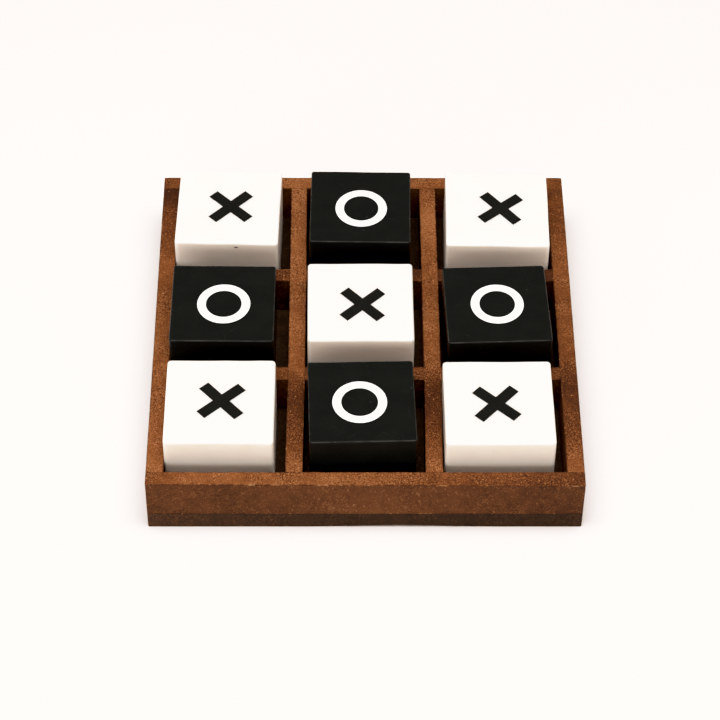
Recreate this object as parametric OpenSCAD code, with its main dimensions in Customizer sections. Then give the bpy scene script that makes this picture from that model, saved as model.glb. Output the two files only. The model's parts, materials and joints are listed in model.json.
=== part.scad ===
// Tic tac toe set: a square tray of nine cells with one loose block standing in each.
// Origin: middle of the tray's underside. +X to the right, +Y to the rear, +Z up. Millimetres.

/* [Tray] */
// Outside width and depth of the square tray
tray_size = 150; // [138:1:200]
// Thickness of the rails and the dividers
board_t = 6; // [4:0.5:8]
// Thickness of the base board
base_t = 7; // [4:0.5:10]
// Height of the rails and dividers above the base board
wall_h = 15.5; // [8:0.5:20]
// Rounding of the tray's upright outer corners
corner_r = 0.6; // [0.5:0.1:3]

/* [Blocks] */
// Height of every block
block_h = 26.2; // [18:0.1:40]
// Mean gap between a light block and each wall of its cell
light_gap = 2.2; // [2.1:0.1:3]
// Mean gap between a dark block and each wall of its cell
dark_gap = 2.6; // [2.5:0.1:3]
// Rounding of a light block's edges
light_edge_r = 1.2; // [0.4:0.1:3]
// Rounding of a dark block's edges
dark_edge_r = 0.7; // [0.4:0.1:3]

/* [Inlaid marks] */
// Depth of the crosses and rings let into the blocks
mark_depth = 1; // [0.5:0.1:3]
// Length of each bar of a cross
cross_len = 18.8; // [14:0.1:22]
// Width of each bar of a cross
cross_w = 4.2; // [2:0.1:6]
// Outer diameter of a ring
ring_d = 18.9; // [14:0.1:22]
// Inner diameter of a ring
ring_bore = 12.7; // [6:0.1:13]

/* [Hidden] */
// Clear depth between the front and rear rails, and clear width between the side rails
inside = tray_size - 2 * board_t;
// Clear width of one cell, and the distance from one cell's middle to the next
cell = (inside - 2 * board_t) / 3;
pitch = cell + board_t;
light_w = cell - 2 * light_gap;
dark_w = cell - 2 * dark_gap;
curve_fn = 64;
// How far a cut runs on past the face it opens
overcut = 1;

// Where each block stands, as [column, row, slide right, slide rear, turn, mark right, mark rear,
// mark turn]. Columns and rows count -1, 0, 1 from the middle. The blocks stand loose, so each has slid
// and turned a little in its cell, and its mark is a little off its middle. Slides are in mm and turns in
// degrees, anticlockwise from above.
X_PLACES = [
    [-1,  1, -1.6,  0.6, -1.5,  0.7,  0.1,  1.5],
    [ 1,  1,  1.0, -0.4, -1.0,  1.3,  0.3, -4.7],
    [ 0,  0, -1.4,  0.9,  0.2,  0.7, -1.5, -1.5],
    [-1, -1, -2.0,  2.0, -0.3,  0.5, -0.1, -2.7],
    [ 1, -1, -2.0,  1.5,  0.4, -0.8, -0.8,  2.4],
];
O_PLACES = [
    [ 0,  1, -1.2,  0.8, -0.9,  0.3, -1.0, 0],
    [-1,  0, -2.3,  0.0, -0.5,  0.3, -0.4, 0],
    [ 1,  0, -0.9, -0.3,  2.1,  0.1, -0.1, 0],
    [ 0, -1, -1.2,  1.8,  1.5, -0.7, -0.4, 0],
];

// Shared shapes

// Rectangle centred on the origin with round corners
module rounded_rect(w, d, r) {
    square([w, d - 2 * r], center = true);
    square([w - 2 * r, d], center = true);
    for (x = [-1, 1], y = [-1, 1])
        translate([x * (w / 2 - r), y * (d / 2 - r)])
            circle(r, $fn = curve_fn);
}

// Board of the tray's full outline, from height z up to height z + h
module tray_slab(z, h) {
    translate([0, 0, z])
        linear_extrude(h)
            rounded_rect(tray_size, tray_size, corner_r);
}

// Full-width rail on the front (side -1) or the rear (side 1), cut from the tray's outline
module end_rail(side) {
    y = side * (tray_size - board_t) / 2;
    intersection() {
        tray_slab(base_t, wall_h);
        translate([0, y, base_t + wall_h / 2])
            cube([tray_size + overcut, board_t, wall_h + overcut], center = true);
    }
}

// Upright board that runs front to back between the end rails, centred at x
module inner_board(x) {
    translate([x - board_t / 2, -inside / 2, base_t])
        cube([board_t, inside, wall_h]);
}

// Half-height slots of the halving joints, across both crossings of a divider that runs along Y
module crossing_slots(z) {
    for (y = [-1, 1])
        translate([-board_t, y * pitch / 2 - board_t / 2, z])
            cube([2 * board_t, board_t, wall_h / 2 + overcut]);
}

// Divider that runs front to back, whole on top and slotted from below
module long_divider(side) {
    difference() {
        inner_board(side * pitch / 2);
        translate([side * pitch / 2, 0, 0])
            crossing_slots(base_t - overcut);
    }
}

// Divider that runs left to right, slotted from above so that the long dividers drop into it
module cross_divider(side) {
    difference() {
        rotate([0, 0, 90])
            inner_board(side * pitch / 2);
        translate([0, side * pitch / 2, 0])
            rotate([0, 0, 90])
                crossing_slots(base_t + wall_h / 2);
    }
}

// Puts a shape modelled round the origin at a block's place, standing on the base board
module in_cell(place) {
    translate([place[0] * pitch + place[2], place[1] * pitch + place[3], base_t])
        rotate([0, 0, place[4]])
            children();
}

// Puts an outline at the mark's place on a block's top and gives it the mark's depth, plus any overshoot
module on_top(place, overshoot = 0) {
    translate([place[5], place[6], block_h - mark_depth])
        rotate([0, 0, place[7]])
            linear_extrude(mark_depth + overshoot)
                children();
}

// Square block with every edge rounded, standing on the origin
module rounded_block(w, r) {
    intersection() {
        linear_extrude(block_h)
            rounded_rect(w, w, r);
        translate([0, w / 2, block_h / 2])
            rotate([90, 0, 0])
                linear_extrude(w)
                    rounded_rect(w, block_h, r);
        translate([-w / 2, 0, block_h / 2])
            rotate([90, 0, 90])
                linear_extrude(w)
                    rounded_rect(w, block_h, r);
    }
}

module cross_outline() {
    for (turn = [45, -45])
        rotate(turn)
            square([cross_len, cross_w], center = true);
}

module ring_outline() {
    difference() {
        circle(d = ring_d, $fn = curve_fn);
        circle(d = ring_bore, $fn = curve_fn);
    }
}

// The tray

module base_board() {
    color("#4a2d1d") tray_slab(0, base_t);
}

module front_rail() {
    color("#7d4d2f") end_rail(-1);
}

module rear_rail() {
    color("#7d4d2f") end_rail(1);
}

module left_rail() {
    color("#7d4d2f") inner_board(-(tray_size - board_t) / 2);
}

module right_rail() {
    color("#7d4d2f") inner_board((tray_size - board_t) / 2);
}

module long_divider_left() {
    color("#85532f") long_divider(-1);
}

module long_divider_right() {
    color("#85532f") long_divider(1);
}

module cross_divider_rear() {
    color("#734628") cross_divider(1);
}

module cross_divider_front() {
    color("#734628") cross_divider(-1);
}

// The blocks and the marks let into them

module x_block(place) {
    color("#f4efe2") in_cell(place) difference() {
        rounded_block(light_w, light_edge_r);
        on_top(place, overcut) cross_outline();
    }
}

module x_mark(place) {
    color("#1f1e1c") in_cell(place) on_top(place) cross_outline();
}

module o_block(place) {
    color("#22211f") in_cell(place) difference() {
        rounded_block(dark_w, dark_edge_r);
        on_top(place, overcut) ring_outline();
    }
}

module o_mark(place) {
    color("#f8f6ef") in_cell(place) on_top(place) ring_outline();
}

base_board();
front_rail();
rear_rail();
left_rail();
right_rail();
long_divider_left();
long_divider_right();
cross_divider_rear();
cross_divider_front();
for (i = [1:len(X_PLACES)]) {
    x_block(X_PLACES[i - 1]);
    x_mark(X_PLACES[i - 1]);
}
for (i = [1:len(O_PLACES)]) {
    o_block(O_PLACES[i - 1]);
    o_mark(O_PLACES[i - 1]);
}
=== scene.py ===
import json
import math

import bpy
import numpy as np
from mathutils import Matrix, Vector
from mathutils.geometry import delaunay_2d_cdt


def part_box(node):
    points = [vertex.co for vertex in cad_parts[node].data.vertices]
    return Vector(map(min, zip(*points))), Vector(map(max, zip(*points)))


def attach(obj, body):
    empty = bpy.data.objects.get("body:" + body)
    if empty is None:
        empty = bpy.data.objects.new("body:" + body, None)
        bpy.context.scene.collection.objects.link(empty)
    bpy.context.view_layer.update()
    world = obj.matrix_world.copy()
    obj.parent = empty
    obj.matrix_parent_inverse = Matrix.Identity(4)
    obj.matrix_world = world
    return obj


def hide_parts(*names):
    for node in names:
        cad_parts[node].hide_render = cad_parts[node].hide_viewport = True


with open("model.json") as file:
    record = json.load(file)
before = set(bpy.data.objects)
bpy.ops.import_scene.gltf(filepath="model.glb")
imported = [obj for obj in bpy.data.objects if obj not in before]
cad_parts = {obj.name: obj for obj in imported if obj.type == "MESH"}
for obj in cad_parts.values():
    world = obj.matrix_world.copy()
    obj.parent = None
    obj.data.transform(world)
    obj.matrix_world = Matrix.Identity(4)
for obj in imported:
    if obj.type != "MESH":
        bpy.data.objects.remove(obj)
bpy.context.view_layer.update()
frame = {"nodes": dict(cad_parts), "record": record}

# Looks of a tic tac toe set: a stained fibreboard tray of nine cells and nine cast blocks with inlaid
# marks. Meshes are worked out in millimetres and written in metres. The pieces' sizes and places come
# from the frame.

MM = 0.001
AXES = "xyz"
BODY_OF = {n: b for b, ns in frame["record"]["behaviour"]["bodies"].items() for n in ns}


# ---------------------------------------------------------------- noise

MIX_X, MIX_Y, MIX_Z, MIX_SEED = 374761393, 668265263, 974634777, 1274126177
LOW_32_BITS = 0xFFFFFFFF


def lattice(cells, seed):
    """A repeatable random number from 0 to 1 for each whole-number cell."""
    x, y, z = cells.T
    n = (x * MIX_X + y * MIX_Y + z * MIX_Z + seed * MIX_SEED) & LOW_32_BITS
    n = ((n ^ (n >> 13)) * MIX_SEED) & LOW_32_BITS
    return (n ^ (n >> 16)) / LOW_32_BITS


def noise(points, size, seed):
    """Smooth noise from -1 to 1 at each point, with features about size mm wide."""
    p = np.asarray(points, float) / size
    cell = np.floor(p).astype(np.int64)
    f = p - cell
    f = f * f * (3 - 2 * f)
    total = np.zeros(len(p))
    for corner in np.ndindex(2, 2, 2):
        weight = np.prod(np.where(corner, f, 1 - f), axis=1)
        total += weight * lattice(cell + np.array(corner), seed)
    return total * 2 - 1


def noise_along(t, size, seed):
    """Smooth noise from -1 to 1 along a line."""
    flat = np.zeros_like(t)
    return noise(np.column_stack([t, flat, flat]), size, seed)


def smooth(low, high, value):
    """Goes softly from 0 at low to 1 at high."""
    t = np.clip((value - low) / (high - low), 0, 1)
    return t * t * (3 - 2 * t)


# ---------------------------------------------------------------- objects

SHARP_ANGLE = math.radians(38)


def new_object(name, points, faces, material, floats):
    """A mesh object from points in mm, with smooth shading broken at sharp edges. floats holds a value
    per point under each name that a material reads."""
    mesh = bpy.data.meshes.new(name)
    mesh.from_pydata((np.asarray(points) * MM).tolist(), [], faces)
    mesh.validate()
    mesh.shade_smooth()
    mesh.set_sharp_from_angle(angle=SHARP_ANGLE)
    for key, values in floats.items():
        layer = mesh.attributes.new(key, "FLOAT", "POINT")
        layer.data.foreach_set("value", np.asarray(values, np.float32))
    mesh.materials.append(material)
    obj = bpy.data.objects.new(name, mesh)
    bpy.context.scene.collection.objects.link(obj)
    even = obj.modifiers.new("even_normals", "WEIGHTED_NORMAL")
    even.keep_sharp = True
    return obj


def stand_for(obj, node):
    """obj takes the place of a CAD node and moves with its body."""
    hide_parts(node)
    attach(obj, BODY_OF[node])


# ---------------------------------------------------------------- materials

class Graph:
    """Adds nodes to one material, each input given as a value or as another node's output."""

    def __init__(self, name):
        self.material = bpy.data.materials.new(name)
        self.material.use_nodes = True
        self.tree = self.material.node_tree
        self.shader = self.tree.nodes["Principled BSDF"]
        self.object_mm = self.scaled(self.add("TexCoord").outputs["Object"], (1 / MM,) * 3)

    def set(self, node, inputs):
        for key, value in inputs.items():
            socket = node.inputs[key]
            if isinstance(value, bpy.types.NodeSocket):
                self.tree.links.new(value, socket)
            else:
                socket.default_value = value

    def add(self, kind, inputs=None, **settings):
        node = self.tree.nodes.new("ShaderNode" + kind)
        for key, value in settings.items():
            setattr(node, key, value)
        self.set(node, inputs or {})
        return node

    def scaled(self, vector, scale):
        return self.add("Mapping", {"Vector": vector, "Scale": scale}).outputs["Vector"]

    def turned(self, vector, turn):
        return self.add("Mapping", {"Vector": vector, "Rotation": turn}).outputs["Vector"]

    def noise(self, vector, scale, detail, rough, warp=0.0):
        inputs = {"Vector": vector, "Scale": scale, "Detail": detail, "Roughness": rough,
                  "Distortion": warp}
        return self.add("TexNoise", inputs).outputs["Fac"]

    def cells(self, vector, scale, channel):
        """Random cells: the distance from each one's middle, and a random number for each one."""
        node = self.add("TexVoronoi", {"Vector": vector, "Scale": scale})
        colour = self.add("SeparateColor", {"Color": node.outputs["Color"]})
        return node.outputs["Distance"], colour.outputs[channel]

    def math(self, operation, a, b, clamp=False):
        return self.add("Math", {0: a, 1: b}, operation=operation, use_clamp=clamp).outputs[0]

    def times(self, a, b):
        return self.math("MULTIPLY", a, b)

    def swing(self, value, amount):
        """How far a value from 0 to 1 is from its middle, times amount."""
        return self.times(self.math("SUBTRACT", value, 0.5), amount)

    def remap(self, value, low, high, to_low=0.0, to_high=1.0):
        inputs = {"Value": value, "From Min": low, "From Max": high, "To Min": to_low,
                  "To Max": to_high}
        return self.add("MapRange", inputs, interpolation_type="SMOOTHSTEP").outputs["Result"]

    def ramp(self, value, stops):
        node = self.add("ValToRGB", {"Fac": value})
        while len(node.color_ramp.elements) < len(stops):
            node.color_ramp.elements.new(0.5)
        for element, (place, rgb) in zip(node.color_ramp.elements, stops):
            element.position = place
            element.color = (*rgb, 1)
        return node.outputs["Color"]

    def mix(self, fac, a, b, blend="MIX"):
        node = self.add("Mix", data_type="RGBA", blend_type=blend, clamp_factor=True)
        self.set(node, {0: fac, 6: a if hasattr(a, "node") else (*a, 1),
                        7: b if hasattr(b, "node") else (*b, 1)})
        return node.outputs[2]

    def specks(self, vector, scale, radius, chance):
        """1 in rare small round specks. radius and chance each give the soft limit's two ends."""
        distance, random = self.cells(vector, scale, "Green")
        return self.times(self.remap(distance, *radius, 1.0, 0.0), self.remap(random, *chance))

    def attribute(self, name):
        return self.add("Attribute", attribute_name=name).outputs["Fac"]

    def bump(self, height, strength, distance_mm):
        inputs = {"Height": height, "Strength": strength, "Distance": distance_mm * MM}
        self.set(self.shader, {"Normal": self.add("Bump", inputs).outputs["Normal"]})


def wood(name, dark, mid, light, raw):
    """Stained fibreboard. Sawn edges are coarse and speckled, faces are darker and smoother with fine
    fibres, their darkness partly painted shade. The mesh says where it is sawn, how light it is coloured
    (painted shade in places), where an edge is near and where chips show raw board."""
    g = Graph(name)
    at = g.object_mm
    sawn, rim = g.attribute("sawn"), g.attribute("rim")

    def by_cut(pressed_value, sawn_value):
        return g.remap(sawn, 0, 1, pressed_value, sawn_value)

    # How light the wood is coloured at each point: clouds, granules and fibres on top of the board's own
    # tone, which holds painted shade in places.
    clouds = g.noise(at, 0.06, 3, 0.55)
    mottle = g.noise(at, 0.30, 3, 0.6)
    patch = g.remap(g.noise(at, 0.11, 2, 0.5), 0.36, 0.62, 0.45, 1.2)
    grain = g.noise(at, 1.25, 5, 0.78)
    speckle = g.noise(at, 2.9, 2, 0.6)
    fibre = 0.0
    for turn in ((0.3, 0.9, 0.2), (1.1, -0.6, 2.0), (-0.5, 0.4, 1.1)):
        strand = g.noise(g.scaled(g.turned(at, turn), (0.34, 1.5, 1.5)), 1.0, 1, 0.4, 0.3)
        fibre = g.math("ADD", fibre, g.remap(strand, 0.66, 0.76))
    coarse = g.swing(grain, by_cut(0.85, 1.9))
    fine = g.swing(speckle, by_cut(0.70, 2.0))
    granular = g.times(g.math("ADD", coarse, fine), patch)
    cloudy = g.math("ADD", g.swing(clouds, 0.35), g.swing(mottle, 0.35))
    lit = g.times(fibre, by_cut(0.24, 0.14))
    shade = g.math("ADD", g.attribute("tone"), g.math("ADD", cloudy, lit))
    # Pressed faces, the upright faces of the rails and dividers, are shifted darker: partly the pressed
    # board's own duller colour, partly painted shade for the upright faces.
    shade = g.math("ADD", shade, by_cut(-0.115, 0.01))
    shade = g.math("ADD", shade, granular, clamp=True)
    colour = g.ramp(shade, ((0.1, dark), (0.5, mid), (0.95, light)))

    # Light flecks and dark pits, and a cooler tint on the pressed faces.
    distance, chance = g.cells(at, 0.62, "Red")
    fleck = g.times(g.remap(distance, 0.10, 0.24, 1.0, 0.0), g.remap(chance, 0.64, 0.86))
    colour = g.mix(g.times(fleck, by_cut(0.25, 0.7)), colour, light)
    pit = g.times(g.remap(distance, 0.08, 0.2, 1.0, 0.0), g.remap(chance, 0.14, 0.05))
    colour = g.mix(g.times(pit, 0.7), colour, dark)
    colour = g.mix(g.math("SUBTRACT", 1.0, sawn), colour, (0.80, 0.94, 1.18), "MULTIPLY")

    # Edges are grimy in places and rubbed in others, and chips show the raw board.
    grime = g.times(rim, g.remap(g.noise(at, 0.35, 3, 0.7), 0.44, 0.58))
    colour = g.mix(g.times(grime, 0.72), colour, dark)
    rubbed = g.times(rim, g.remap(g.noise(at, 0.42, 4, 0.75, 0.6), 0.58, 0.66))
    colour = g.mix(g.times(rubbed, 0.75), colour, light)
    broken = g.times(g.attribute("raw"), g.remap(grain, 0.3, 0.62))
    colour = g.mix(broken, colour, raw)
    g.set(g.shader, {"Base Color": colour, "Roughness": g.remap(grain, 0.2, 0.8, 0.55, 0.75),
                     "Specular IOR Level": 0.05})
    relief = g.math("ADD", g.times(grain, by_cut(0.35, 1.0)), g.times(speckle, 0.4))
    relief = g.math("SUBTRACT", relief, g.times(pit, 0.8))
    g.bump(relief, 0.55, 0.12)
    return g.material


def light_resin(name, colour, sink, pit_at=None):
    """Cast cream resin: light sinks in, the more the higher sink is. It has a few faint clouds and
    specks, fine scuffs and, where pit_at is given, one small dark pit."""
    g = Graph(name)
    at = g.object_mm
    clouds = g.noise(at, 0.09, 3, 0.5)
    tint = g.mix(g.remap(clouds, 0.3, 0.7), tuple(c * 0.965 for c in colour), colour)
    speck = g.specks(at, 0.23, (0.022, 0.05), (0.86, 0.94))
    tint = g.mix(g.times(speck, 0.5), tint, (0.34, 0.25, 0.17))
    relief = g.noise(at, 0.5, 3, 0.55)
    if pit_at is not None:
        away = g.add("VectorMath", {0: at, 1: tuple(pit_at)}, operation="SUBTRACT").outputs[0]
        near = g.add("VectorMath", {0: g.scaled(away, (0.5, 1, 1.3))}, operation="LENGTH")
        pit = g.remap(near.outputs["Value"], 0.26, 0.55, 1.0, 0.0)
        tint = g.mix(pit, tint, (0.035, 0.017, 0.009))
        relief = g.math("SUBTRACT", relief, g.times(pit, 6.0))
    scuffs = g.noise(g.scaled(at, (0.3, 2.2, 0.3)), 1.2, 3, 0.6)
    g.set(g.shader, {"Base Color": tint, "Roughness": g.remap(scuffs, 0.25, 0.8, 0.3, 0.46),
                     "Subsurface Weight": sink, "Subsurface Scale": 0.0024,
                     "Subsurface Radius": (1.0, 0.96, 0.93), "Specular IOR Level": 0.4,
                     "IOR": 1.5})
    g.bump(relief, 0.12, 0.1)
    return g.material


def dark_resin(name, colour, dust_and_highlight_colour):
    """Cast black resin, satin, with fine hairline scratches, a little dust, nicks and a painted highlight
    along the blocks' top edges.
    """
    g = Graph(name)
    at = g.object_mm
    clouds = g.noise(at, 0.12, 3, 0.55)
    tint = g.mix(g.remap(clouds, 0.3, 0.7), tuple(c * 0.85 for c in colour), colour)
    scratches = 0.0
    for turn, stretch in ((0.5, 0.055), (1.35, 0.04), (2.5, 0.07)):
        streak = g.noise(g.scaled(g.turned(at, (0, 0, turn)), (stretch, 1.0, 1.0)), 1.7, 2, 0.5)
        scratches = g.math("ADD", scratches, g.remap(streak, 0.70, 0.78))
    speck = g.specks(at, 0.3, (0.03, 0.075), (0.80, 0.93))
    tint = g.mix(g.times(speck, 0.5), tint, dust_and_highlight_colour)
    tint = g.mix(g.times(scratches, 0.035), tint, dust_and_highlight_colour)
    # The raw attribute lightens the nicks and, on the dark blocks, paints a broken highlight along the
    # top edges.
    tint = g.mix(g.times(g.attribute("raw"), 0.45), tint, dust_and_highlight_colour)
    haze = g.noise(at, 0.7, 4, 0.6)
    rough = g.math("ADD", g.remap(haze, 0.25, 0.75, 0.19, 0.25), g.times(scratches, 0.12))
    g.set(g.shader, {"Base Color": tint, "Roughness": rough, "Specular IOR Level": 0.05,
                     "IOR": 1.5})
    g.bump(g.math("SUBTRACT", g.times(haze, 0.5), g.times(scratches, 0.5)), 0.1, 0.03)
    return g.material


RAIL_WOOD = wood("rail_wood", (0.038, 0.0120, 0.0047), (0.158, 0.0500, 0.0140), (0.38, 0.156, 0.062),
                 (0.38, 0.19, 0.085))
BASE_WOOD = wood("base_wood", (0.017, 0.0075, 0.0035), (0.050, 0.0225, 0.0104), (0.15, 0.056, 0.021),
                 (0.40, 0.23, 0.11))
CREAM = (0.91, 0.80, 0.71)
RESIN_SINK = 0.85
DARK_RESIN = dark_resin("dark_resin", (0.0085, 0.0089, 0.0082), (0.10, 0.095, 0.085))
DARK_MARK = dark_resin("dark_mark", (0.0100, 0.0100, 0.0090), (0.07, 0.066, 0.06))
LIGHT_MARK = light_resin("light_mark", (0.95, 0.94, 0.91), 0.1)
LIGHT_RESIN = light_resin("light_resin", CREAM, RESIN_SINK)


# ---------------------------------------------------------------- the tray's boards

SIDES = [sign + axis for axis in AXES for sign in "-+"]
# The twelve edges of a box, each named by its two sides, with the four upright ones last.
EDGES = sorted([a + b for a in SIDES for b in SIDES if a[1] < b[1]], key=lambda e: "z" not in e)
# Distances of the grid lines from an edge, and between the lines elsewhere along and across a board.
FINE = np.array([0, 0.09, 0.2, 0.34, 0.55, 0.85, 1.25, 1.7])
STEP_ALONG, STEP_ACROSS = 0.72, 1.1


def stops(low, high, step, extra):
    """Grid lines from low to high: close together near both ends, about step apart between, and one at
    each place in extra."""
    middle = np.linspace(low + FINE[-1], high - FINE[-1], max(2, round((high - low) / step)))
    lines = np.concatenate([low + FINE, middle, high - FINE, extra])
    return np.unique(np.round(lines, 4))


def grid_solid(lines, is_solid):
    """Points and outward quads of the cells that is_solid keeps, on a grid of three sets of lines."""
    centres = [(a[1:] + a[:-1]) / 2 for a in lines]
    keep = is_solid(*np.meshgrid(*centres, indexing="ij"))
    counts = [len(a) for a in lines]
    quads = []
    for axis in range(3):
        b, c = (axis + 1) % 3, (axis + 2) % 3
        padded = np.pad(keep, [(1, 1) if i == axis else (0, 0) for i in range(3)])
        step = np.diff(padded.astype(np.int8), axis=axis)
        for sign in (-1, 1):
            cells = np.argwhere(step == -sign)
            corners = []
            for db, dc in ((0, 0), (1, 0), (1, 1), (0, 1)):
                at = cells.copy()
                at[:, b] += db
                at[:, c] += dc
                corners.append(np.ravel_multi_index(at.T, counts))
            quads.append(np.column_stack(corners if sign > 0 else corners[::-1]))
    quads = np.concatenate(quads)
    used, quads = np.unique(quads, return_inverse=True)
    index = np.unravel_index(used, counts)
    points = np.column_stack([lines[i][index[i]] for i in range(3)])
    return points, quads.reshape(-1, 4)


def run_of(edge):
    """The axis that an edge runs along."""
    return 3 - AXES.index(edge[1]) - AXES.index(edge[3])


def depth_from(points, low, high, side):
    """How far each point is inside the face named by side, such as "-y"."""
    axis = AXES.index(side[1])
    return points[:, axis] - low[axis] if side[0] == "-" else high[axis] - points[:, axis]


def set_depth(points, low, high, side, depth):
    """Moves each point to that depth inside the face named by side."""
    axis = AXES.index(side[1])
    points[:, axis] = low[axis] + depth if side[0] == "-" else high[axis] - depth


def round_edge(points, low, high, edge, radius):
    """Rolls the square edge between two faces, such as "-y+z", onto a quarter circle."""
    first, second = edge[:2], edge[2:]
    a = depth_from(points, low, high, first)
    b = depth_from(points, low, high, second)
    near = (a < radius) & (b < radius)
    u = 1 - a / radius
    v = 1 - b / radius
    shrink = np.maximum(u, v) / np.maximum(np.hypot(u, v), 1e-9)
    set_depth(points, low, high, first, np.where(near, radius * (1 - u * shrink), a))
    set_depth(points, low, high, second, np.where(near, radius * (1 - v * shrink), b))


def carve(points, centre, size, stretch):
    """Scoops a rounded dent of that size round centre, longer along the axes with a low stretch.
    Returns how deep each point went."""
    away = (points - centre) * stretch
    distance = np.linalg.norm(away, axis=1)
    push = np.clip(size - distance, 0, None)
    points += away / np.maximum(distance, 1e-6)[:, None] / stretch * push[:, None]
    return push


def met_spans(node, low, high, edge):
    """The stretches of a top edge where another board meets it, as (low, high) along its run."""
    side = AXES.index(edge[1])
    place = low[side] if edge[0] == "-" else high[side]
    run = run_of(edge)
    spans = []
    for other in BOARDS:
        other_low, other_high = node_box(other)
        reaches = other_low[side] - 0.01 <= place <= other_high[side] + 0.01
        if other != node and reaches and other_high[2] > high[2] - 0.01:
            spans.append((other_low[run], other_high[run]))
    return spans


# Chips per mm of edge and the range of their sizes in mm: on joint lines, on open edges and on the front
# rail's outer top edge.
JOINT_CHIPS = (0.06, (0.28, 0.55))
OPEN_CHIPS = (0.06, (0.35, 0.75))
FRONT_CHIPS = (0.13, (0.45, 1.05))
CHIP_CLEARANCE = 2


def chip_edge(points, low, high, edge, spans, rng, per_mm, size_range):
    """Knocks small chips out of an edge, clear of its ends and of the boards that meet it, and returns
    how raw each point is."""
    run = run_of(edge)
    raw = np.zeros(len(points))
    count = rng.poisson(per_mm * (high[run] - low[run]))
    for _ in range(count):
        size = rng.uniform(*size_range)
        centre = np.empty(3)
        centre[run] = rng.uniform(low[run] + CHIP_CLEARANCE, high[run] - CHIP_CLEARANCE)
        for side in (edge[:2], edge[2:]):
            axis = AXES.index(side[1])
            out = size * rng.uniform(0.35, 0.6)
            centre[axis] = low[axis] - out if side[0] == "-" else high[axis] + out
        stretch = np.ones(3)
        stretch[run] = rng.uniform(0.35, 0.8)
        if any(a - CHIP_CLEARANCE < centre[run] < b + CHIP_CLEARANCE for a, b in spans):
            continue
        raw = np.maximum(raw, smooth(0.02, 0.2, carve(points, centre, size, stretch)))
    return raw


# Rounding of a board's edges in mm: open, along a joint line, under the tray, at the tray's upright
# corners, and where it is glued against another board.
ARRIS = 0.26
JOINT_LINE = 0.13
FOOT = 0.10
CORNER = 0.6
GLUED = 0.05

# Per board: the axis it runs along, the axis its pressed faces look along, the rounding of the edges
# that aren't glued, and how light it is coloured at even steps from the low end of its run to the high
# end; the low values of the cross dividers and at the left rail's rear end are painted shade. face_tone
# is the same for the pressed faces, where it isn't worked out from tone.
OPEN_TOP = {"-x+z": ARRIS, "+x+z": ARRIS}
BOARDS = {
    "base_board": dict(
        run="x", face="z", tone=(0.64, 0.555, 0.44, 0.445, 0.476), edges={
            "-x-z": FOOT, "+x-z": FOOT, "-y-z": FOOT, "+y-z": FOOT,
            "-x+z": JOINT_LINE, "+x+z": JOINT_LINE, "-y+z": JOINT_LINE, "+y+z": JOINT_LINE,
            "-x-y": CORNER, "+x-y": CORNER, "-x+y": CORNER, "+x+y": CORNER}),
    "front_rail": dict(
        run="x", face="y", tone=(0.36, 0.54, 0.44, 0.54, 0.39, 0.27, 0.18),
        face_tone=(0.41, 0.45, 0.45, 0.49, 0.54, 0.52, 0.48, 0.43, 0.365), edges={
            "-y+z": ARRIS, "+y+z": ARRIS, "-x+z": ARRIS, "+x+z": ARRIS, "-y-z": JOINT_LINE,
            "-x-z": JOINT_LINE, "+x-z": JOINT_LINE, "-x-y": CORNER, "+x-y": CORNER}),
    "rear_rail": dict(
        run="x", face="y", tone=(0.30, 0.58, 0.58, 0.52, 0.46, 0.40, 0.34), edges={
            "+y+z": ARRIS, "-y+z": ARRIS, "-x+z": ARRIS, "+x+z": ARRIS, "+y-z": JOINT_LINE,
            "-x-z": JOINT_LINE, "+x-z": JOINT_LINE, "-x+y": CORNER, "+x+y": CORNER}),
    # The left rail's tone drops at its rear end as painted shadow beside the rear blocks.
    "left_rail": dict(
        run="y", face="x", tone=(0.61, 0.43, 0.45, 0.55, 0.43, 0.44, 0.30, -0.04),
        edges={**OPEN_TOP, "-x-z": JOINT_LINE}),
    "right_rail": dict(
        run="y", face="x", tone=(0.50, 0.24, 0.12, 0.43, 0.33, 0.50, 0.30, 0.22),
        edges={**OPEN_TOP, "+x-z": JOINT_LINE}),
    "long_divider_left": dict(
        run="y", face="x", tone=(0.54, 0.30, 0.04, 0.52, 0.55, 0.42, 0.58, 0.52, 0.60), edges=OPEN_TOP),
    "long_divider_right": dict(
        run="y", face="x", tone=(0.50, 0.36, 0.03, 0.46, 0.56, 0.45, 0.52, 0.64, 0.38), edges=OPEN_TOP),
    # The cross dividers' low tone is painted shade: they lie in the shadowed gaps between the rows of
    # blocks.
    "cross_divider_rear": dict(
        run="x", face="y", tone=(0.12, 0.12, 0.12), edges={"-y+z": ARRIS, "+y+z": ARRIS}),
    "cross_divider_front": dict(
        run="x", face="y", tone=(0.24, 0.24, 0.22), edges={"-y+z": ARRIS, "+y+z": ARRIS}),
}


def node_box(node):
    """Lowest and highest corners of a CAD node, in mm."""
    low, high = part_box(node)
    return np.array(low) / MM, np.array(high) / MM


def halving_slots(node, low, high):
    """The boxes cut out of a divider where it crosses the two others."""
    if "divider" not in node:
        return []
    others = [n for n in BOARDS if "divider" in n and n.split("_")[0] != node.split("_")[0]]
    half = (low[2] + high[2]) / 2
    slots = []
    for other in others:
        other_low, other_high = node_box(other)
        slot_low, slot_high = np.maximum(low, other_low), np.minimum(high, other_high)
        if node.startswith("long"):
            slot_high[2] = half
        else:
            slot_low[2] = half
        slots.append((slot_low, slot_high))
    return slots


def board_tone(along, strengths):
    """How light a board is coloured at each place along it, painted shade included, from values given at
    even steps.
    """
    return np.interp(along, np.linspace(0, 1, len(strengths)), strengths)


# The foot of the tray's front is rounded off most round this place, in mm: extra rounding, x, spread.
WORN_FOOT, WORN_FOOT_X, WORN_FOOT_SPREAD = 1.3, 11, 19


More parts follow.
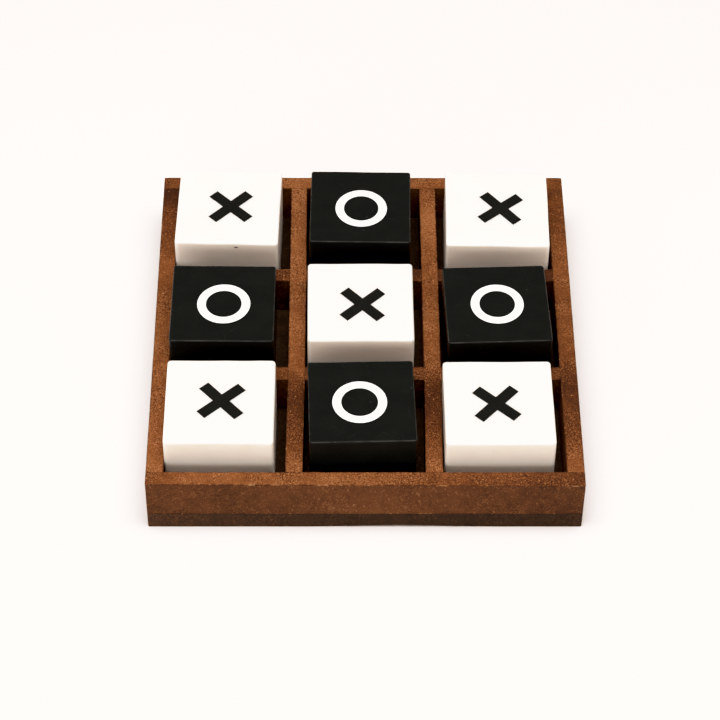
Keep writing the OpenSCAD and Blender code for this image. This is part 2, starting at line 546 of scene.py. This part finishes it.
def round_edges(points, node, low, high, seed):
    """Rounds every edge of a board: glued edges hardly, and worn ones unevenly."""
    radii = BOARDS[node]["edges"]
    for number, edge in enumerate(EDGES):
        radius = radii.get(edge, GLUED)
        along = points[:, run_of(edge)]
        if edge in radii and "z" in edge:
            wear = 0.45 * noise_along(along, 6, seed + number) + 0.35 * noise_along(along, 1.4, number)
            radius = radius * (1 + wear)
        if (node, edge) == ("base_board", "-y-z"):
            radius = radius + WORN_FOOT * np.exp(-((along - WORN_FOOT_X) / WORN_FOOT_SPREAD) ** 2)
        round_edge(points, low, high, edge, np.broadcast_to(radius, along.shape))


def wear_edges(points, square, node, low, high, seed):
    """Chips a board's edges. Returns how raw each point is, and how near it is to a worn edge in the
    board's square form."""
    rng = np.random.default_rng(seed)
    raw, rim = np.zeros(len(points)), np.zeros(len(points))
    for edge, radius in BOARDS[node]["edges"].items():
        if "z" not in edge:
            continue
        spans = met_spans(node, low, high, edge) if edge.endswith("+z") else []
        chips = OPEN_CHIPS if radius >= ARRIS else JOINT_CHIPS
        if (node, edge) == ("front_rail", "-y+z"):
            chips = FRONT_CHIPS
        raw = np.maximum(raw, chip_edge(points, low, high, edge, spans, rng, *chips))
        reach = np.maximum(*(depth_from(square, low, high, side) for side in (edge[:2], edge[2:])))
        near = smooth(0.6, 0.15, reach)
        along = square[:, run_of(edge)]
        for a, b in spans:
            near[(along > a) & (along < b)] = 0
        rim = np.maximum(rim, near)
    return raw, rim


BEND = 0.36           # how far the front stretch of both long dividers bends to the left, in mm
LEAN = 0.4            # how far the front rail's top outer edge is sanded at either end, in mm


def make_uneven(points, square, node, low, high, seed):
    """Sawn and pressed faces are never quite flat, and some boards aren't quite straight. The waves
    only take material away."""
    wave = 0.025 * (1 + noise(square, 9, seed)) + 0.012 * (1 + noise(square, 1.3, seed + 5))
    for side in SIDES:
        if side != "-z" and any(side in edge for edge in BOARDS[node]["edges"]):
            deep = depth_from(points, low, high, side)
            set_depth(points, low, high, side, np.maximum(deep, wave))
    if node == "front_rail":
        lean_front_rail(points, low, high)
    if node.startswith("long"):
        points[:, 0] -= BEND * smooth(-26, -64, square[:, 1])


def lean_front_rail(points, low, high):
    """The front rail's top outer edge is sanded back at the left end and sanded down at the right."""
    along = (points[:, 0] - low[0]) / (high[0] - low[0])
    front = 1 - smooth(0, 4.5, points[:, 1] - low[1])
    up = smooth(0, 1, (points[:, 2] - low[2]) / (high[2] - low[2]))
    top = smooth(1.5, 0, high[2] - points[:, 2])
    points[:, 1] += LEAN * (1 - along) * front * up
    points[:, 2] -= LEAN * along * front * top


FACE_SKIN = 0.15      # points this near a pressed face count as part of it, in mm
SAWN_BASE = 0.3       # how coarse the base board's edges look, where a rail's top is 1


def make_board(node, seed, material):
    """Models one board, uneven and worn, and puts it in the place of its CAD node."""
    spec = BOARDS[node]
    low, high = node_box(node)
    slots = halving_slots(node, low, high)
    run, face = AXES.index(spec["run"]), AXES.index(spec["face"])
    lines = []
    for axis in range(3):
        extra = [s[end][axis] for s in slots for end in (0, 1)]
        step = STEP_ALONG if axis == run else STEP_ACROSS
        lines.append(stops(low[axis], high[axis], step, extra))

    def is_solid(x, y, z):
        keep = np.ones(x.shape, bool)
        for slot_low, slot_high in slots:
            inside = np.ones(x.shape, bool)
            for value, a, b in zip((x, y, z), slot_low, slot_high):
                inside &= (value > a) & (value < b)
            keep &= ~inside
        return keep

    points, quads = grid_solid(lines, is_solid)
    square = points.copy()
    round_edges(points, node, low, high, seed)
    raw, rim = wear_edges(points, square, node, low, high, seed)
    make_uneven(points, square, node, low, high, seed)

    on_face = np.minimum(square[:, face] - low[face], high[face] - square[:, face]) < FACE_SKIN
    along = (square[:, run] - low[run]) / (high[run] - low[run])
    tone = board_tone(along, spec["tone"])
    face_tone = board_tone(along, spec["face_tone"]) if "face_tone" in spec else 0.5 + 0.3 * (tone - 0.5)
    floats = {"sawn": (1.0 - on_face) * (SAWN_BASE if node == "base_board" else 1.0), "raw": raw,
              "tone": np.where(on_face, face_tone, tone), "rim": rim}
    stand_for(new_object(node + "_board", points, quads.tolist(), material, floats), node)


# ---------------------------------------------------------------- the blocks and their marks

def turning(angle):
    """The matrix that turns rows of x and y anticlockwise by an angle, when they are multiplied by it."""
    c, s = math.cos(angle), math.sin(angle)
    return np.array([[c, s], [-s, c]])


def quarter_turn_phase(node):
    """The direction of a square or cross-shaped node's upright faces, from -45 to 45 degrees."""
    total = 0j
    for face in frame["nodes"][node].data.polygons:
        if abs(face.normal.z) < 0.1:
            total += face.area * np.exp(4j * math.atan2(face.normal.y, face.normal.x))
    return np.angle(total) / 4


def flat_points(node, centre, turn):
    """A node's points seen from above, in mm, moved to the centre and turned back."""
    points = np.array([v.co[:2] for v in frame["nodes"][node].data.vertices]) / MM - centre
    return points @ turning(turn).T


def cross_outline(length, width, grow):
    """The twelve corners of a cross with bars at 45 degrees, each side moved out by grow."""
    a = length / 2 + grow
    b = width / 2 + grow
    arm = np.array([(b, -b), (a, -b), (a, b)])
    return [np.concatenate([arm @ turning(math.radians(45 + 90 * quarter)) for quarter in range(4)])]


RING_POINTS = 96


def ring_outlines(outer, inner, grow):
    """A ring's outer and inner circles, with the band between them widened by grow."""
    angles = np.linspace(0, 2 * math.pi, RING_POINTS, endpoint=False)
    circle = np.column_stack([np.cos(angles), np.sin(angles)])
    return [circle * (outer / 2 + grow), circle[::-1] * (inner / 2 - grow)]


def mark_shape(node):
    """The height of the mark's underside, its outlines as a function of how far they are grown, and a
    test that says which points lie in the grown mark."""
    low, high = node_box(node)
    centre = ((low + high) / 2)[:2]
    if node.startswith("x"):
        turn = quarter_turn_phase(node)
        turn += math.radians(45 if turn < 0 else -45)
        corners = np.abs(flat_points(node, centre, turn + math.radians(45)))
        length, width = 2 * corners.max(), 2 * corners.min()
        spin = turning(turn)

        def outlines(grow):
            return [centre + o @ spin for o in cross_outline(length, width, grow)]

        def holds(p, grow=0):
            q = (p - centre) @ spin.T
            u, v = np.abs(q[:, 0] + q[:, 1]), np.abs(q[:, 0] - q[:, 1])
            along, across = np.maximum(u, v), np.minimum(u, v)
            root = math.sqrt(2)
            return (along < (length / 2 + grow) * root) & (across < (width / 2 + grow) * root)
    else:
        radii = np.linalg.norm(flat_points(node, centre, 0), axis=1)
        outer, inner = 2 * radii.max(), 2 * radii.min()

        def outlines(grow):
            return [centre + o for o in ring_outlines(outer, inner, grow)]

        def holds(p, grow=0):
            r = np.linalg.norm(p - centre, axis=1)
            return (r < outer / 2 + grow) & (r > inner / 2 - grow)
    return low[2], outlines, holds


def triangulate(loops, scatter, holds):
    """Triangles over closed loops and loose points, split into those outside and inside the mark."""
    points = np.concatenate(loops + [scatter])
    edges = []
    start = 0
    for loop in loops:
        n = len(loop)
        edges += [(start + i, start + (i + 1) % n) for i in range(n)]
        start += n
    found = delaunay_2d_cdt([Vector(p) for p in points], edges, [], 1, 1e-5)
    source = [min(o) for o in found[3]]
    triangles = np.array([[source[i] for i in f] for f in found[2]])
    corner = points[triangles]
    area = np.cross(corner[:, 1] - corner[:, 0], corner[:, 2] - corner[:, 0])
    triangles = np.where(area[:, None] < 0, triangles[:, ::-1], triangles)
    in_mark = holds(corner.mean(axis=1))
    return points, triangles[~in_mark], triangles[in_mark]


def bridge(first, second, n):
    """Quads between two closed rings of n points that start at those indices, the second one lower."""
    return [(first + i, second + i, second + (i + 1) % n, first + (i + 1) % n) for i in range(n)]


SIDE_POINTS, CORNER_POINTS = 58, 9


def block_outline(width, corner):
    """Anticlockwise rounded square about the origin, with its outward directions."""
    points, normals = [], []
    reach = width / 2 - corner
    for quarter in range(4):
        turn = Matrix.Rotation(math.radians(90 * quarter), 2)
        for i in range(CORNER_POINTS):
            angle = math.radians(90 * i / (CORNER_POINTS - 1))
            normal = Vector((math.cos(angle), math.sin(angle)))
            points.append(turn @ (Vector((reach, reach)) + corner * normal))
            normals.append(turn @ normal)
        for i in range(1, SIDE_POINTS):
            x = reach - 2 * reach * i / SIDE_POINTS
            points.append(turn @ Vector((x, width / 2)))
            normals.append(turn @ Vector((0, 1)))
    return np.array(points), np.array(normals)


SANDED = 0.05         # how far sanding by hand moves a block's surface, in mm


def hand_finish(points, foot, seed):
    """Moves points as sanding by hand does, never upwards, and not at the foot."""
    amount = SANDED * smooth(0.5, 6, points[:, 2] - foot)
    moved = points.copy()
    for axis in range(2):
        moved[:, axis] += noise(points, 13, seed + axis) * amount
    moved[:, 2] -= (1 + noise(points, 14, seed + 2)) * amount
    return moved


# Where an inlay meets its pocket, in mm: how far both rims are eased, and the gap left round the inlay.
EASE, PLAY = 0.05, 0.015
POCKET_SPARE = 0.02   # how much deeper the pocket is than the inlay
PAD_STEP = 2.2        # spacing of the loose points that keep a top face's triangles even
PAD_CLEAR = 0.9       # how far those points stay from every outline


def block_rings(outline, outward, radius, edge_radius, foot, top):
    """Rings round a block, from the rim of its top face down to the rim of its underside. radius is the
    rounding of the top edge at each point, and edge_radius is its mean."""
    n = len(outline)
    rings = []
    for angle in np.radians(np.linspace(0, 90, 9)):
        inset = radius * (1 - math.sin(angle))
        rings.append(np.column_stack([outline - outward * inset[:, None],
                                      top - radius * (1 - math.cos(angle))]))
    for z in np.linspace(top - edge_radius * 1.4, foot + edge_radius * 0.8, 14):
        rings.append(np.column_stack([outline, np.full(n, z)]))
    foot_radius = edge_radius * 0.75
    for angle in np.radians(np.linspace(15, 90, 6)):
        inset = foot_radius * (1 - math.cos(angle))
        rings.append(np.column_stack([outline - outward * inset,
                                      np.full(n, foot + foot_radius * (1 - math.sin(angle)))]))
    return rings


def top_face(rim, mouth, in_mark, centre, spin, width):
    """The flat top's points, then its triangles outside and inside the mouth of the mark's pocket."""
    pad = np.arange(2 - width / 2, width / 2 - 1.9, PAD_STEP)
    scatter = centre + np.array([(x, y) for x in pad for y in pad]) @ spin
    clear = np.min([np.linalg.norm(scatter[:, None] - outline[None], axis=2).min(axis=1)
                    for outline in mouth + [rim]], axis=0)
    beside = [in_mark(scatter + (x, y)) for x in (-0.5, 0, 0.5) for y in (-0.5, 0, 0.5)]
    scatter = scatter[(clear > PAD_CLEAR) & ~np.any(beside, axis=0)]
    return triangulate([rim] + mouth, scatter, in_mark)


def nicks_and_edge_highlight(points, outline, outward, centre, spin, width, top, seed):
    """Nicks a dark block's top edge and returns how raw each point is at the nicks, with a broken painted
    highlight along its top edges.
    """
    raw = nick_edges(points, outline, outward, top, np.random.default_rng(seed))
    inset = width / 2 - np.abs((points[:, :2] - centre) @ spin.T).max(axis=1)
    # A broken band along the top edges is a painted highlight.
    highlight_band = smooth(0.42, 0.2, np.maximum(inset, top - points[:, 2]))
    broken = smooth(-0.2, 0.5, noise(points, 2.4, seed + 9))
    return np.maximum(raw, highlight_band * (0.25 + 0.4 * broken))


def make_block(number, kind, seed, material, mark_material, edge_radius, corner_radius, slots):
    """Models one block with its mark, "x" or "o", and puts both in the place of their CAD nodes."""
    block, mark = f"{kind}_block_{number}", f"{kind}_mark_{number}"
    low, high = node_box(block)
    foot, top = low[2], high[2]
    centre = ((low + high) / 2)[:2]
    turn = quarter_turn_phase(block)
    width = np.ptp(flat_points(block, centre, turn), axis=0).max()
    spin = turning(turn)
    outline, outward = block_outline(width, corner_radius)
    outline, outward = centre + outline @ spin, outward @ spin
    n = len(outline)

    # The rounding of the top edge varies round the block: noise on a circle of about the block's size, so
    # that it meets itself.
    around = np.linspace(0, 2 * math.pi, n)
    circle = np.column_stack([np.cos(around) * 22, np.sin(around) * 22, np.full(n, seed * 7.0)])
    radius = edge_radius * (1 + 0.22 * noise(circle, 7, seed))
    rings = block_rings(outline, outward, radius, edge_radius, foot, top)

    # The top face with the pocket's mouth in it, the sides below it, and the underside.
    mark_low, mark_outlines, in_mark = mark_shape(mark)
    mouth = mark_outlines(EASE)
    flat, top_faces, floor_faces = top_face(rings[0][:, :2], mouth, in_mark, centre, spin, width)
    points = [np.column_stack([flat, np.full(len(flat), top)])]
    faces = top_faces.tolist()
    count = len(flat)
    start = 0
    for ring in rings[1:]:
        points.append(ring)
        faces += bridge(start, count, n)
        start = count
        count += n
    points.append(np.array([[*centre, foot]]))
    faces += [(start + (i + 1) % n, start + i, count) for i in range(n)]
    count += 1

    # The pocket's eased rim, walls and floor.
    wall_top = n
    floor_index = {}
    for neck in mark_outlines(0):
        m = len(neck)
        previous = wall_top
        for z in (top - EASE, mark_low - POCKET_SPARE):
            points.append(np.column_stack([neck, np.full(m, z)]))
            faces += [tuple(reversed(quad)) for quad in bridge(previous, count, m)]
            previous = count
            count += m
        floor_index.update({wall_top + i: previous + i for i in range(m)})
        wall_top += m
    faces += [[floor_index[i] for i in face] for face in floor_faces.tolist()]

    points = hand_finish(np.concatenate(points), foot, seed)
    raw = np.zeros(len(points))
    # Dark blocks get nicks and a painted highlight along their top edges.
    if kind == "o":
        raw = nicks_and_edge_highlight(points, outline, outward, centre, spin, width, top, seed)
    obj = new_object(block + "_resin", points, faces, material, {"raw": raw})
    stand_for(obj, block)
    make_mark(mark, mark_low, top, foot, mark_outlines, in_mark, seed, mark_material)


def nick_edges(points, outline, outward, top, rng):
    """Tiny knocks along a block's top edge."""
    raw = np.zeros(len(points))
    for _ in range(9):
        i = rng.integers(len(outline))
        size = rng.uniform(0.3, 0.55)
        out = size * rng.uniform(0.4, 0.62) - 0.15
        centre = np.array([*(outline[i] + outward[i] * out), top + out])
        raw = np.maximum(raw, smooth(0.01, 0.1, carve(points, centre, size, np.ones(3))))
    return raw


def make_mark(node, low_z, top, foot, outlines, in_mark, seed, material):
    """The inlay: a prism of the mark's shape with softened top edges, flush with the block."""
    levels = ((-PLAY - EASE, top - 0.005), (-PLAY, top - EASE), (-PLAY, low_z))
    loops = outlines(levels[0][0])
    sizes = [len(loop) for loop in loops]
    total = sum(sizes)
    _, _, inner = triangulate(loops, np.empty((0, 2)), lambda p: in_mark(p, levels[0][0]))
    points = []
    for grow, z in levels:
        points.append(np.column_stack([np.concatenate(outlines(grow)), np.full(total, z)]))
    faces = inner.tolist()
    faces += [[i + 2 * total for i in reversed(face)] for face in inner.tolist()]
    start = 0
    for size in sizes * 2:
        faces += bridge(start, start + total, size)
        start += size
    points = hand_finish(np.concatenate(points), foot, seed)
    obj = new_object(node + "_inlay", points, faces, material, {"raw": np.zeros(len(points))})
    stand_for(obj, node)


# ---------------------------------------------------------------- build the set

for index, name in enumerate(BOARDS):
    if name == "base_board":
        make_board(name, 11, BASE_WOOD)
    else:
        make_board(name, 20 + index * 10, RAIL_WOOD)

# The rear left block has a small dark pit near the top of its front face.
first_low, first_high = node_box("x_block_1")
PIT = (first_low[0] + 22.3, first_low[1] + 0.45, first_high[2] - 2.2)
PITTED_RESIN = light_resin("pitted_resin", CREAM, RESIN_SINK, PIT)

# Rounding of the blocks' level edges and of their upright corners, in mm.
LIGHT_ROUNDING = (0.85, 1.25)
DARK_ROUNDING = (0.5, 1.1)
for number in range(1, 6):
    make_block(number, "x", 200 + number * 10, PITTED_RESIN if number == 1 else LIGHT_RESIN,
               DARK_MARK, *LIGHT_ROUNDING, ("light_block", "dark_mark"))
for number in range(1, 5):
    make_block(number, "o", 300 + number * 10, DARK_RESIN, LIGHT_MARK, *DARK_ROUNDING,
               ("dark_block", "light_mark"))


# ---------------------------------------------------------------- floor, light and camera

FLOOR_HALF = 2.5      # half the floor's width, in metres


def make_floor():
    """A plain pale floor under the tray, with a very faint cloudiness."""
    g = Graph("pale_floor")
    cloud = g.noise(g.object_mm, 0.004, 2, 0.5)
    g.set(g.shader, {"Base Color": g.mix(cloud, (0.90, 0.79, 0.735), (0.91, 0.80, 0.745)),
                     "Roughness": 0.75, "Specular IOR Level": 0.15})
    corners = [(x * FLOOR_HALF, y * FLOOR_HALF, 0) for x, y in ((-1, -1), (1, -1), (1, 1), (-1, 1))]
    mesh = bpy.data.meshes.new("floor")
    mesh.from_pydata(corners, [], [(0, 1, 2, 3)])
    mesh.materials.append(g.material)
    floor = bpy.data.objects.new("floor", mesh)
    bpy.context.scene.collection.objects.link(floor)


def area_light(name, place, aim, size, power):
    """A white softbox at place that faces aim, with its width and height in metres and its watts."""
    lamp = bpy.data.lights.new(name, "AREA")
    lamp.shape = "RECTANGLE"
    lamp.size, lamp.size_y = size
    lamp.energy = power
    obj = bpy.data.objects.new(name, lamp)
    obj.location = place
    obj.rotation_euler = (Vector(aim) - Vector(place)).to_track_quat("-Z", "Y").to_euler()
    bpy.context.scene.collection.objects.link(obj)


def make_camera():
    """Looks down on the front edge from straight ahead, with a very slight turn and tilt."""
    elevation, azimuth, roll = (math.radians(a) for a in (48.08, -0.625, 0.496))
    distance, target = 0.953, Vector((-0.00138, 0.0016, 0.001))
    back = Vector((math.sin(azimuth) * math.cos(elevation),
                   -math.cos(azimuth) * math.cos(elevation), math.sin(elevation)))
    right = (-back).cross(Vector((0, 0, 1))).normalized()
    up = right.cross(-back)
    tilted_right = right * math.cos(roll) + up * math.sin(roll)
    tilted_up = up * math.cos(roll) - right * math.sin(roll)
    pose = Matrix((tilted_right, tilted_up, back)).transposed().to_4x4()
    pose.translation = target + back * distance
    camera = bpy.data.objects.new("camera", bpy.data.cameras.new("camera"))
    camera.data.lens = 130.43
    camera.data.sensor_width = 36
    camera.data.clip_start = 0.02
    camera.matrix_world = pose
    bpy.context.scene.collection.objects.link(camera)
    bpy.context.scene.camera = camera


# The studio's brightness at heights above the horizon in degrees: a pale surround, a dark gap that the
# tops of the blocks mirror towards the camera, and a bright ceiling.
STUDIO = ((0, 0.72), (14, 0.66), (22, 0.50), (36, 0.50), (42, 0.02), (58, 0.02), (66, 2.15),
          (90, 2.15))
STUDIO_TINT = (1, 0.985, 0.965)


def make_world(levels):
    """A plain warm white studio whose brightness goes by the height above the horizon."""
    world = bpy.data.worlds.new("studio")
    world.use_nodes = True
    tree = world.node_tree
    background = tree.nodes["Background"]
    direction = tree.nodes.new("ShaderNodeTexCoord").outputs["Generated"]
    split = tree.nodes.new("ShaderNodeSeparateXYZ")
    ramp = tree.nodes.new("ShaderNodeValToRGB")
    peak = max(level for _, level in levels)
    while len(ramp.color_ramp.elements) < len(levels):
        ramp.color_ramp.elements.new(0.5)
    for element, (degrees, level) in zip(ramp.color_ramp.elements, levels):
        element.position = max(0, math.sin(math.radians(degrees)))
        element.color = (*(level / peak * tint for tint in STUDIO_TINT), 1)
    tree.links.new(direction, split.inputs[0])
    tree.links.new(split.outputs["Z"], ramp.inputs["Fac"])
    tree.links.new(ramp.outputs["Color"], background.inputs["Color"])
    background.inputs["Strength"].default_value = peak
    bpy.context.scene.world = world


BLACK_LEVEL = 0.0034
# Per colour channel: the scene brightness from which white is reached, and how white it is shown.
WHITE_FROM = (1.31, 1.22, 1.12)
WHITE_SHOWN = (1.0, 0.98, 0.955)


def set_view():
    """Display colours: a little black is crushed, and a soft shoulder keeps clipped white warm."""
    view = bpy.context.scene.view_settings
    view.view_transform = "Standard"
    view.use_curve_mapping = True
    curves = view.curve_mapping
    curves.black_level = (BLACK_LEVEL,) * 3
    curves.clip_max_x = curves.clip_max_y = 1.5
    curves.extend = "HORIZONTAL"
    for channel, knee, top in zip(curves.curves, WHITE_FROM, WHITE_SHOWN):
        channel.points[0].location = (0, 0)
        channel.points[1].location = (0.55, 0.55)
        channel.points.new(0.7 * knee, 0.86 * top)
        channel.points.new(knee, top)
    curves.update()


make_floor()
make_world(STUDIO)
area_light("overhead_softbox", (0, -0.09, 0.8), (0, -0.09, 0), (0.8, 0.35), 6.4)
area_light("front_softbox", (-0.45, -0.95, 0.29), (0, 0, 0.02), (0.9, 0.3), 3.1)
make_camera()
set_view()
